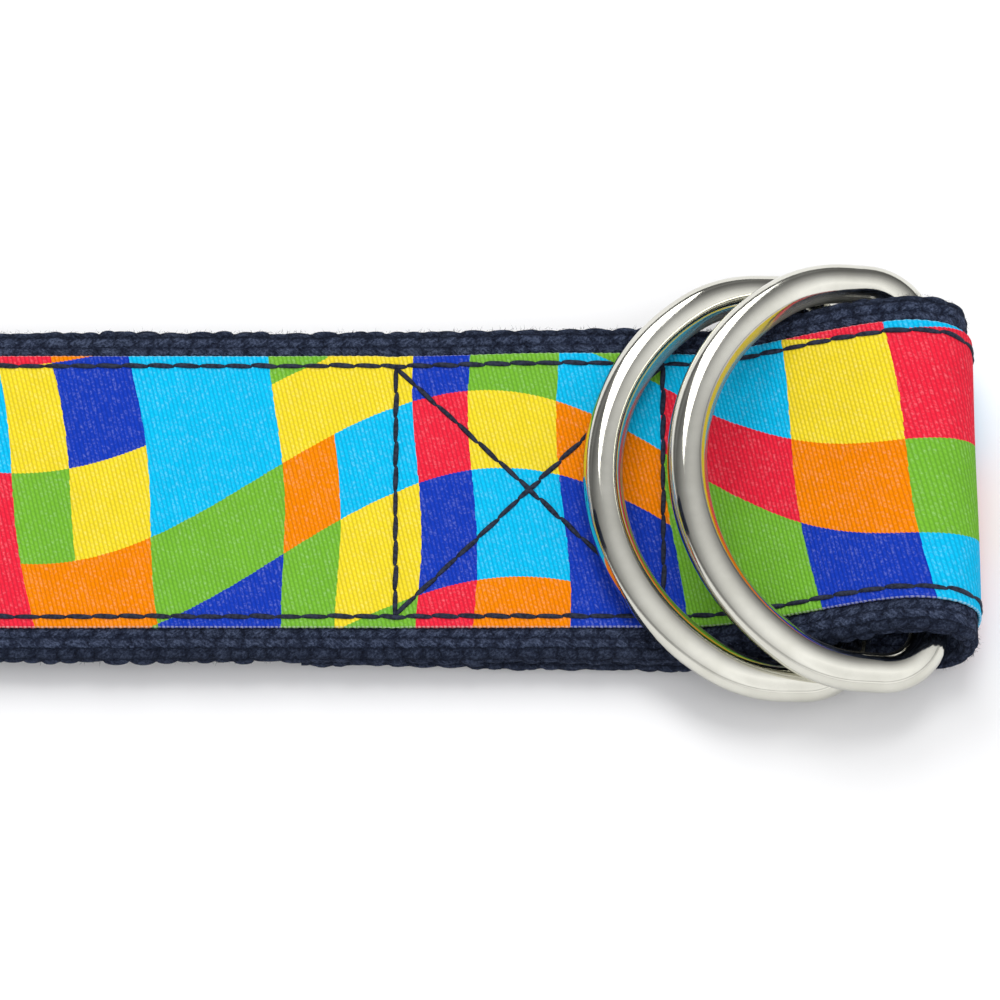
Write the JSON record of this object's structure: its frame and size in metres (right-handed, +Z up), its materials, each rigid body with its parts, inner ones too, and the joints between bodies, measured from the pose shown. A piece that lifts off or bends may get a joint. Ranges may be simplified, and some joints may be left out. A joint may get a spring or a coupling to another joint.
{
  "type": "luggage strap",
  "caption": "Webbing strap with a printed ribbon sewn along it, one end folded round twin D-rings and boxed down, the tail wound into a flat roll.",
  "frame": {"origin": "centre of the bounding box, on the surface the strap lies on", "axes": "+X along the strap towards the D-rings, +Y across the strap, +Z up from the surface"},
  "size_m": [0.25, 0.0486, 0.0809],
  "materials": {
    "webbing": "dark navy heavy cotton webbing, matt and hairy",
    "ribbon": "twill ribbon printed with a wavy check in six bright colours",
    "thread": "navy polyester sewing thread",
    "nickel": "polished nickel plate with faint scratches"
  },
  "bodies": {
    "strap": {"webbing_end": "webbing", "webbing_roll": "webbing", "ribbon_end": "ribbon", "ribbon_roll": "ribbon", "far_edge_seam": "thread", "near_edge_seam": "thread", "box_x_seam": "thread", "tail_bar_tack": "thread"},
    "lower_ring": {"lower_d_ring": "nickel"},
    "upper_ring": {"upper_d_ring": "nickel"}
  },
  "joints": [
    {"name": "upper_ring_swing", "type": "hinge", "parent": "strap", "child": "upper_ring", "pos_m": [0.11895, 0, 0.0078], "axis": [0, 1, 0], "range_deg": [0, 168]},
    {"name": "lower_ring_swing", "type": "hinge", "parent": "strap", "child": "lower_ring", "pos_m": [0.11115, 0, 0.005], "axis": [0, 1, 0], "range_deg": [0, 115]}
  ],
  "couplings": [
    {"joint": "lower_ring_swing", "follows": "upper_ring_swing", "ratio": 0.68}
  ]
}
